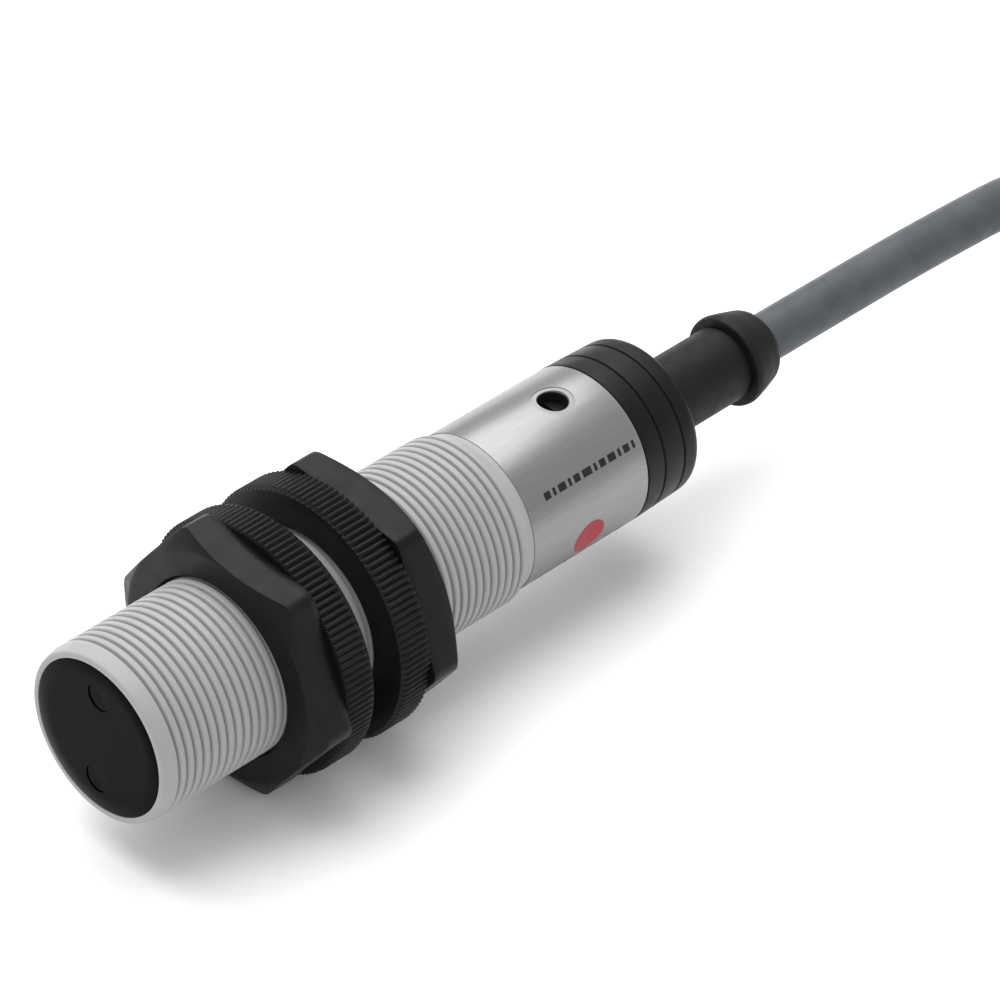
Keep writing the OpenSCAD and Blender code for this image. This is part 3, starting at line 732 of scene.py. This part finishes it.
def make_cord():
    """The sheathed cable on its whole route, with the cores, ferrules and tie it carries."""
    path = cord_path()
    cable = sweep("cable", path, CORD_R, 28, [CABLE_SHEATH])
    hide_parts("cable_run", "cable_hank", "cable_tail")
    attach(cable, "sensor")
    pieces = make_cores() + [make_tie()]


# ---------------------------------------------------------------------------
# Barrel
# ---------------------------------------------------------------------------
GROOVE_DEPTH = 0.5
# One pitch of the thread, as (share of the pitch, share of the depth): wide crest, narrow groove
GROOVE_SHAPE = [
    (0.0, 0.06), (0.08, 0.015), (0.2, 0.0), (0.35, 0.0), (0.48, 0.02), (0.58, 0.09), (0.66, 0.26),
    (0.72, 0.56), (0.77, 0.88), (0.81, 1.0), (0.85, 0.88), (0.9, 0.56), (0.95, 0.22),
]
FIRST_GROOVE = 1.35
LAST_GROOVE = 46.9
# Over how much of its length the thread's groove fades in, and out again
GROOVE_START = 0.5
GROOVE_RUNOUT = 1.2
# The front rim's corners, as (radius, station), and its drop under the crests behind them
RIM_EDGE = (8.7, 0.0)
RIM_CORNER = (8.9, 0.75)
RIM_DROP = 0.12
RIM_DROP_END = 1.4
RIM_DROP_LEN = 0.8


def make_barrel():
    """The housing, with a true helical thread between its rim and its plain rear part."""
    around = 180
    turn = np.arange(around) / around
    seat_r = WINDOW_R + WINDOW_GAP
    rim = rounded([(BORE_R, WINDOW_T, 0.05), (seat_r, WINDOW_T, 0.05), (seat_r, 0.0, 0.1),
                   (*RIM_EDGE, 0.22), (*RIM_CORNER, 0.1)], 0.1)
    # The outline's closing stretch, from the rim's corner back to the bore, isn't wanted
    rim = [p for p in rim if p[1] < 0.7 or p[0] < CREST_R - 0.2]
    rings = [ring_y(r, y, around) for r, y in rim]

    def envelope(y):
        """Radius of the thread's crests: a little less at the rim, down to the body behind."""
        lead = CREST_R - RIM_DROP * smooth_step((RIM_DROP_END - y) / RIM_DROP_LEN)
        return lead - (CREST_R - BODY_R) * smooth_step((y - THREAD_END) / (STEP_END - THREAD_END))

    first = rim[-1][1] + 0.05
    helix_start = len(rings)
    for k in range(-1, int(math.ceil(STEP_END / PITCH)) + 1):
        for share, depth in GROOVE_SHAPE:
            y = np.clip((k + share + turn) * PITCH, first, STEP_END)
            fade = smooth_step((y - FIRST_GROOVE) / GROOVE_START)
            fade *= smooth_step((LAST_GROOVE - y) / GROOVE_RUNOUT)
            rings.append(ring_y(envelope(y) - GROOVE_DEPTH * depth * fade, y, around))
    helix_end = len(rings) - 1

    def wrap(i):
        """Round the barrel once, a groove runs on one pitch further along."""
        inside = helix_start <= i <= helix_end
        return min(i + len(GROOVE_SHAPE), helix_end) if inside else i

    rear = rounded([(BODY_R, STEP_END + 0.2, 0.0), (BODY_R, BARREL_LEN, 0.12),
                    (BORE_R, BARREL_LEN, 0.05)], 0.1)
    rings += [ring_y(r, y, around) for r, y in rear]
    barrel = skin("barrel_threaded", rings, loop=True, merge=True, sharp=60,
                  materials=[LIGHT_PLASTIC], wrap=wrap)
    cut(barrel, adjuster_drill("hole_cutter", HOLE_R), 50)
    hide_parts("barrel_housing")
    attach(barrel, "sensor")


APERTURE_R = 1.5
APERTURE_Z = 4.9
# How far the apertures' middles lie under the window's face, and their rims
DISH_MIDDLE = 0.16
DISH_RIM = 0.12


def make_window():
    """The flush front window and its two round apertures, set just below the surface."""
    window = lathe("window_disc", [(0.01, 0.0), (3.0, 0.0), (6.5, 0.0), (WINDOW_R - 0.12, 0.0),
                                   (WINDOW_R - 0.04, 0.04), (WINDOW_R, 0.12),
                                   (WINDOW_R, WINDOW_T), (0.01, WINDOW_T)],
                   around=160, materials=[WINDOW_PLASTIC])
    for side in (1, -1):
        profile = [(0.01, -0.5), (APERTURE_R, -0.5), (APERTURE_R - 0.06, DISH_RIM),
                   (0.01, DISH_MIDDLE)]
        dish = lathe("aperture_cutter", profile, around=64)
        dish.data.transform(Matrix.Translation((0, 0, side * APERTURE_Z * MM)))
        cut(window, dish, 30)
    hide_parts("front_window")
    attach(window, "sensor")


# ---------------------------------------------------------------------------
# Nuts
# ---------------------------------------------------------------------------
# The face is flat up to this radius, and its chamfer falls back from there by this slope
FACE_R = 12.05
FACE_SLOPE = 0.58
BORE_CHAMFER = 0.28
# How sharply a hexagon's corner turns from its flats into the round outside
CORNER_SHARPNESS = 14.0
TOOTH_DEPTH = 0.28
TOOTH_SHAPE = 1.4


def hexagon_radius(angle):
    """Outline of a nut's hexagon, with rounded corners."""
    sixth = TAU / 6
    off = (angle - NUT_TURN + sixth / 2) % sixth - sixth / 2
    flat = NUT_FLAT / np.cos(sixth / 2 - np.abs(off))
    # A soft minimum of the flat and the turned outside
    k = CORNER_SHARPNESS
    return -np.log(np.exp(-k * flat) + np.exp(-k * NUT_CORNER)) / k


def knurl_radius(angle):
    """Outline of a nut's knurled flange."""
    wave = 0.5 - 0.5 * np.cos(TEETH * angle)
    return NUT_R - TOOTH_DEPTH * wave ** TOOTH_SHAPE


def make_nut(name, node, body, face_y, way):
    """way is 1 if the hexagon faces the sensor's front, -1 if it faces the cable."""
    around = TEETH * 8
    angle = np.arange(around) * TAU / around
    hexagon = hexagon_radius(angle)
    knurl = knurl_radius(angle)
    ones = np.ones(around)
    chamfer = hexagon - FACE_R
    # Each row is a ring's radii and its stations behind the face, from the bore's front end
    # over the face, the hexagon, the knurl and the rear back to the bore
    rows = [(NUT_BORE * ones, 0.45), (NUT_BORE * ones, BORE_CHAMFER),
            ((NUT_BORE + BORE_CHAMFER) * ones, 0.0),
            (10.6 * ones, 0.0), (11.5 * ones, 0.0), ((FACE_R - 0.08) * ones, 0.0)]
    rows += [(FACE_R + t * chamfer, FACE_SLOPE * t * chamfer + 0.01)
             for t in (0.04, 0.3, 0.6, 0.9)]
    drop = FACE_SLOPE * chamfer
    rows += [(hexagon - 0.02, drop + 0.03), (hexagon, drop + 0.12)]
    rows += [(hexagon, drop + 0.12 + t * (HEX_LEN - 0.12 - drop)) for t in (0.25, 0.5, 0.75)]
    rows += [
        (hexagon, HEX_LEN - 0.05), (hexagon - 0.03, HEX_LEN),
        (knurl - 0.3, HEX_LEN + 0.01), (knurl - 0.12, HEX_LEN + 0.04),
        (knurl, HEX_LEN + 0.16),
        (knurl, HEX_LEN + 1.2), (knurl, HEX_LEN + 2.4), (knurl, NUT_LEN - 0.4),
        (knurl - 0.05, NUT_LEN - 0.32), (0.5 * (knurl + NUT_R) - 0.24, NUT_LEN - 0.12),
        ((NUT_R - 0.36) * ones, NUT_LEN - 0.02), ((NUT_R - 0.46) * ones, NUT_LEN),
        (11.6 * ones, NUT_LEN), (10.2 * ones, NUT_LEN), ((NUT_BORE + 0.3) * ones, NUT_LEN),
        (NUT_BORE * ones, NUT_LEN - 0.3),
    ]
    rings = []
    for radius, y in rows:
        rings.append(np.stack([radius * np.cos(angle),
                               face_y + way * np.broadcast_to(y, around),
                               radius * np.sin(angle)], axis=1))
    nut = skin(name, rings, loop=True, merge=True, sharp=38, materials=[BLACK_PLASTIC])
    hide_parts(node)
    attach(nut, body)


# ---------------------------------------------------------------------------
# Label, cap and strain relief
# ---------------------------------------------------------------------------
PRINT_LIFT = 0.004
PRINT_T = 0.006
# The row of bars: where it starts, between which angles it lies, and its bars' lengths
BARS_Y = 50.6
BARS_ANGLES = (33.4, 38.6)
BAR_GAP = 0.38
BAR_LENGTHS = (0.8, 0.35, 1.0, 0.35, 0.8, 1.2, 0.35, 0.8, 1.0, 0.35, 0.8, 0.35)
# The two rows of short dashes: angles and length of a dash in each
DASHES_Y = 50.2
DASH_PITCH = 1.75
DASH_COUNT = 7
DASH_ROWS = {"dash": (-31.5, -29.8, 1.2), "dot": (-37.6, -36.4, 0.8)}


def label_patch(name, y0, y1, a0, a1, material, disc=False):
    """A thin curved patch on the label, between two stations and two angles from +X."""
    steps_a, steps_y = (24, 24) if disc else (max(4, int(abs(a1 - a0) / 2)), 4)
    r = LABEL_R + PRINT_LIFT
    points, faces = [], []
    for i in range(steps_y + 1):
        for j in range(steps_a + 1):
            v, u = i / steps_y * 2 - 1, j / steps_a * 2 - 1
            if disc:
                u, v = u * math.sqrt(1 - v * v / 2), v * math.sqrt(1 - u * u / 2)
            y = (y0 + y1) / 2 + v * (y1 - y0) / 2
            a = math.radians((a0 + a1) / 2 + u * (a1 - a0) / 2)
            points.append((r * math.cos(a), y, r * math.sin(a)))
    row = steps_a + 1
    for i in range(steps_y):
        for j in range(steps_a):
            k = i * row + j
            faces.append((k, k + 1, k + row + 1, k + row))
    obj = new_mesh(name, points, faces, materials=[material])
    solid = obj.modifiers.new("thickness", "SOLIDIFY")
    solid.thickness = PRINT_T * MM
    solid.offset = 0.0
    return obj


def make_label():
    """The foil sleeve with its cut-out, and the generic marks printed on it."""
    inside = BODY_R + 0.005
    outline = rounded([(inside, LABEL_Y0, 0.0), (LABEL_R, LABEL_Y0, 0.03),
                       (LABEL_R, LABEL_Y1, 0.03), (inside, LABEL_Y1, 0.0)], 0.03)
    label = lathe("label_sleeve", outline, around=256, materials=[SILVER_FOIL])
    cut(label, adjuster_drill("label_cutter", LABEL_HOLE_R), 40)
    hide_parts("foil_label")
    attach(label, "sensor")
    marks = []
    # A row of plain bars of different lengths stands where a label has its type line
    y = BARS_Y
    for k, size in enumerate(BAR_LENGTHS):
        marks.append(label_patch(f"mark_{k}", y, y + size, *BARS_ANGLES, PRINT_BLACK))
        y += size + BAR_GAP
    # Two rows of short dashes further round
    for k in range(DASH_COUNT):
        start = DASHES_Y + DASH_PITCH * k
        for kind, (a0, a1, size) in DASH_ROWS.items():
            marks.append(label_patch(f"{kind}_{k}", start, start + size, a0, a1, PRINT_BLACK))
    black = join("label_marks_black", marks, 40)
    # A plain disc stands where the label has its coloured mark
    red = label_patch("label_dot_red", 53.9, 57.9, -26.0, 1.0, PRINT_RED, disc=True)
    red = join("label_mark_red", [red], 40)
    for piece in (black, red):
        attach(piece, "sensor")


SPIGOT_R = 7.37
SPIGOT_Y = 61.6
CAP_BORE_R = 6.07
CAP_FLOOR = 69.6
CAP_HOLE_R = 3.98
CAP_FRONT_R = BODY_R + 0.1
CAP_REAR_R = BODY_R - 0.14
CAP_GROOVES = (66.2, 69.0)
CAP_EDGE = 1.3


def make_cap():
    """Rear cap: a slight taper, two fine grooves and a rounded rear edge."""
    half_mouth, half_floor, depth = 0.16, 0.05, 0.2
    seam = BARREL_LEN + 0.02

    def side(y):
        """The tapered outside's radius at a station."""
        along = (y - BARREL_LEN) / (CAP_END - BARREL_LEN)
        return CAP_FRONT_R + (CAP_REAR_R - CAP_FRONT_R) * along

    points = [(CAP_BORE_R, SPIGOT_Y, 0.0), (SPIGOT_R, SPIGOT_Y, 0.1), (SPIGOT_R, seam, 0.0),
              (CAP_FRONT_R, seam, 0.12)]
    for y in CAP_GROOVES:
        floor_r = side(y) - depth
        points += [(side(y - half_mouth), y - half_mouth, 0.06), (floor_r, y - half_floor, 0.05),
                   (floor_r, y + half_floor, 0.05), (side(y + half_mouth), y + half_mouth, 0.06)]
    points += [(CAP_REAR_R, CAP_END, CAP_EDGE), (CAP_HOLE_R, CAP_END, 0.1),
               (CAP_HOLE_R, CAP_FLOOR, 0.0), (CAP_BORE_R, CAP_FLOOR, 0.0)]
    cap = lathe("rear_cap_shell", rounded(points, 0.1, 6), around=160, sharp=30,
                materials=[BLACK_PLASTIC])
    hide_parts("rear_cap")
    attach(cap, "sensor")


RELIEF_BORE_R = CORD_R + 0.03
FLANGE_R = 6.04
FLANGE_Y = (67.77, 69.57)
NECK_R = 3.95
NECK_END = 83.2
UNDERCUT_R = 3.66


def make_relief():
    """Strain relief: plain neck, an undercut, and a barbed collar with a rounded end."""
    points = [(RELIEF_BORE_R, FLANGE_Y[0], 0.0), (FLANGE_R, FLANGE_Y[0], 0.1),
              (FLANGE_R, FLANGE_Y[1], 0.1), (NECK_R, FLANGE_Y[1], 0.0), (NECK_R, NECK_END, 0.12),
              (UNDERCUT_R, 83.36, 0.08), (UNDERCUT_R, 83.52, 0.08),
              (4.72, 83.5, 0.22), (4.87, 84.1, 0.3), (4.6, 85.3, 0.6), (4.25, 86.5, 0.6),
              (4.0, 87.4, 0.5), (3.6, RELIEF_END, 0.5), (RELIEF_BORE_R, RELIEF_END, 0.1)]
    relief = lathe("strain_relief_sleeve", rounded(points, 0.1, 6), around=128, sharp=32,
                   materials=[RELIEF_RUBBER])
    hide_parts("strain_relief")
    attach(relief, "sensor")


def make_adjuster_sleeve():
    """The dark moulded bush that lines the adjuster hole around the slotted head."""
    # Outlines of radius from the hole's axis and height above the barrel's
    lining_r = HOLE_R - 0.01
    lining = rounded([(1.53, 6.95, 0.0), (lining_r, 6.95, 0.0), (lining_r, 8.22, 0.03),
                      (1.5, 8.24, 0.03)], 0.03)
    bush = rounded([(1.36, 4.65, 0.1), (2.55, 4.65, 0.15), (2.55, 6.85, 0.1), (1.56, 6.9, 0.05),
                    (1.56, 6.55, 0.0), (1.36, 6.5, 0.05)], 0.05)
    upright = Matrix.Rotation(math.pi / 2, 4, "X")
    pieces = []
    for name, outline in (("lining", lining), ("bush", bush)):
        piece = lathe(f"adjuster_{name}", outline, around=96, materials=[DARK_PLASTIC])
        piece.data.transform(Matrix.Translation((0, ADJUSTER_Y * MM, 0)) @ upright)
        pieces.append(piece)
    sleeve = join("adjuster_bush_sleeve", pieces)
    tidy(sleeve)
    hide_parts("adjuster_bush")
    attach(sleeve, "sensor")


# ---------------------------------------------------------------------------
# The scene
# ---------------------------------------------------------------------------
make_camera()
dress_cad_nodes()
make_cord()
make_studio()
make_barrel()
make_window()
make_nut("front_nut_knurled", "front_nut", "front_clamp", FRONT_NUT_Y, 1)
make_nut("rear_nut_knurled", "rear_nut", "rear_clamp", REAR_NUT_END, -1)
make_label()
make_cap()
make_relief()
make_adjuster_sleeve()
